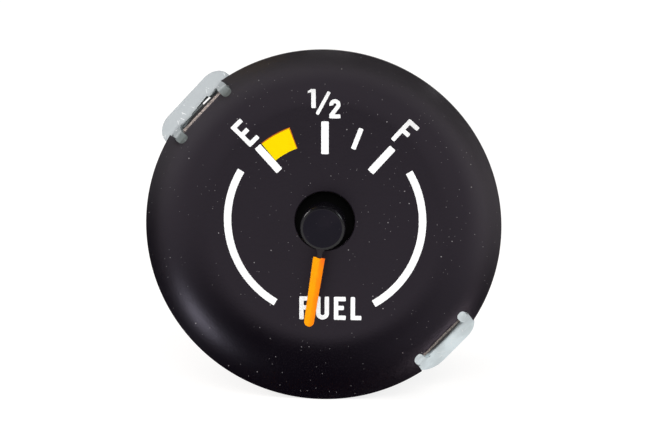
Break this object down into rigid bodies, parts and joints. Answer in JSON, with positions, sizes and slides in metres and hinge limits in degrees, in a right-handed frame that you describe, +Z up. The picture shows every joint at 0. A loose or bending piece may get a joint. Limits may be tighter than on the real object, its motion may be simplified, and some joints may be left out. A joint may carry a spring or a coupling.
{
  "type": "car fuel gauge",
  "caption": "Round car fuel gauge: a dished black dial on a steel drum, held by two plated ears, with an orange pointer that hangs down when the power is off.",
  "frame": {"origin": "on the dial axis, in the plane in which the backs of the two ears' outer edges meet the instrument panel", "axes": "+Y along the dial axis from the face to the terminals, so the face looks to -Y; +Z up through the half mark; +X to the right as the driver sees it"},
  "size_m": [0.08, 0.0463, 0.08],
  "materials": {
    "dial_black": "fine matt black paint with a slight orange peel",
    "white_ink": "screen-printed white ink",
    "yellow_ink": "screen-printed yellow ink",
    "brown_ink": "screen-printed orange-brown ink",
    "zinc_plate": "satin zinc plate, lightly scuffed",
    "rivet_steel": "plated rivet heads",
    "case_steel": "plated drawn steel, dulled with age",
    "hub_plastic": "satin black moulding",
    "pointer_orange": "orange lacquer",
    "brass": "turned brass, slightly dulled",
    "weight_metal": "dull grey metal",
    "bright_steel": "bright zinc-plated steel",
    "magnet": "dark sintered magnet",
    "former_plastic": "ivory moulding",
    "copper_wire": "enamelled copper wire",
    "shield_steel": "soft iron, dull plated",
    "cover_black": "dead black paint",
    "laminate": "brown paper laminate",
    "bush_fibre": "pale vulcanised fibre",
    "resistor_ceramic": "unglazed white ceramic"
  },
  "bodies": {
    "case": {"dial_plate": "dial_black", "scale_print": "white_ink", "reserve_patch": "yellow_ink", "reserve_underprint": "brown_ink", "upper_left_ear": "zinc_plate", "lower_right_ear": "zinc_plate", "ear_rivets": "rivet_steel", "case_can": "case_steel", "former_front": "former_plastic", "former_rear": "former_plastic", "front_bush": "brass", "rear_bush": "brass", "inner_coil": "copper_wire", "outer_coil": "copper_wire", "magnetic_shield": "shield_steel", "shield_cover": "cover_black", "terminal_board": "laminate", "terminal_studs": "brass", "insulating_bushes": "bush_fibre", "flat_washers": "bright_steel", "lock_washers": "bright_steel", "terminal_nuts": "brass", "movement_screws": "bright_steel", "bias_resistor": "resistor_ceramic", "resistor_straps": "bright_steel"},
    "pointer": {"pointer_hub": "hub_plastic", "pointer_blade": "pointer_orange", "pointer_bush": "brass", "balance_weight": "weight_metal", "spindle": "bright_steel", "magnet_rotor": "magnet"}
  },
  "joints": [
    {"name": "pointer_turn", "type": "hinge", "parent": "case", "child": "pointer", "pos_m": [0, 0, 0], "axis": [0, 1, 0], "continuous": true}
  ]
}
